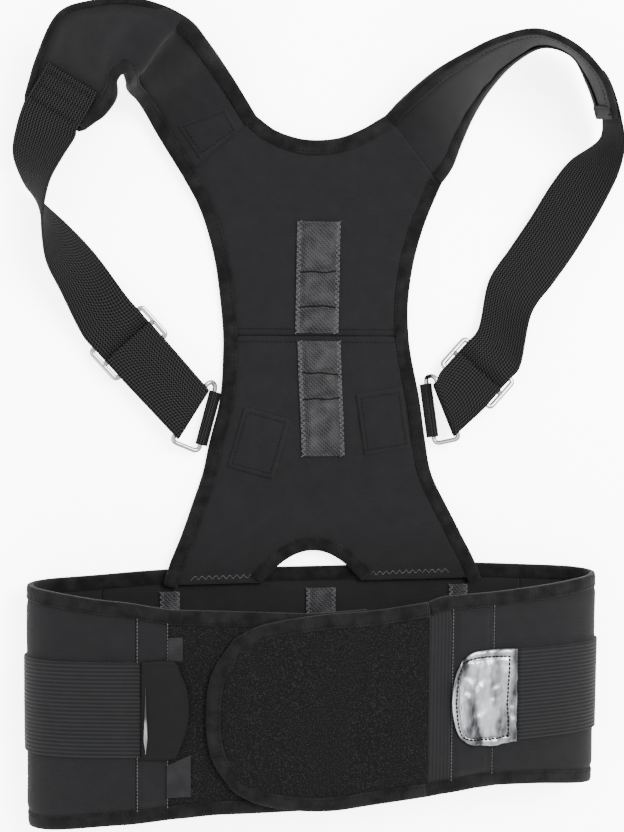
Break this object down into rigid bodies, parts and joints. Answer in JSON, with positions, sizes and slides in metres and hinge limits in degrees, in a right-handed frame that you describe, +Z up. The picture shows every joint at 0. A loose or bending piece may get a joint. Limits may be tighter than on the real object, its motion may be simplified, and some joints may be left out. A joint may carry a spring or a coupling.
{
  "type": "posture corrector",
  "caption": "Back and shoulder brace: padded back panel with shoulder pads, webbing arm loops on metal hardware, and a wide lapped waist belt.",
  "frame": {"origin": "on the surface it lies on, under the middle of the belt's back section", "axes": "+Y from the belt to the neck, +Z up from the surface, +X to the side of the belt's upper wing"},
  "size_m": [0.3921, 0.5152, 0.0653],
  "materials": {
    "nickel": "bright plated steel wire and plate",
    "silver_leatherette": "smooth silver-grey coated cloth",
    "black_leatherette": "smooth black coated cloth",
    "binding_tape": "ribbed folded tape",
    "loop_pile": "brushed loop pile",
    "webbing": "ribbed woven strap",
    "ribbed_elastic": "ribbed woven elastic",
    "pocket_mesh": "twill mesh over padded pockets",
    "foam_jersey": "charcoal jersey over foam"
  },
  "bodies": {
    "root": {"belt_back": "foam_jersey", "belt_side_right": "foam_jersey", "front_casing_right": "foam_jersey", "seam_tape_right": "ribbed_elastic", "belt_side_left": "foam_jersey", "front_casing_left": "foam_jersey", "front_panel_left": "loop_pile", "front_flap": "loop_pile", "flap_binding": "binding_tape", "belt_binding_top": "binding_tape", "belt_binding_bottom": "binding_tape", "elastic_band_right": "ribbed_elastic", "elastic_band_left": "ribbed_elastic", "pull_tab_right": "silver_leatherette", "pull_tab_left": "black_leatherette", "back_panel_upper": "foam_jersey", "back_panel_lower": "foam_jersey", "left_side_binding": "binding_tape", "right_side_binding": "binding_tape", "neck_binding": "binding_tape", "arch_binding": "binding_tape", "left_shoulder_pad": "foam_jersey", "left_pad_binding": "binding_tape", "left_anchor_loop": "webbing", "left_ring": "nickel", "left_slider": "nickel", "left_webbing": "webbing", "right_shoulder_pad": "foam_jersey", "right_pad_binding": "binding_tape", "right_anchor_loop": "webbing", "right_ring": "nickel", "right_slider": "nickel", "right_webbing": "webbing", "magnet_strip_upper": "pocket_mesh", "magnet_strip_lower": "pocket_mesh", "belt_magnet_strip": "pocket_mesh", "back_casing_left": "foam_jersey", "back_casing_right": "foam_jersey", "anchor_patch_left": "foam_jersey", "anchor_patch_right": "foam_jersey"}
  },
  "joints": []
}
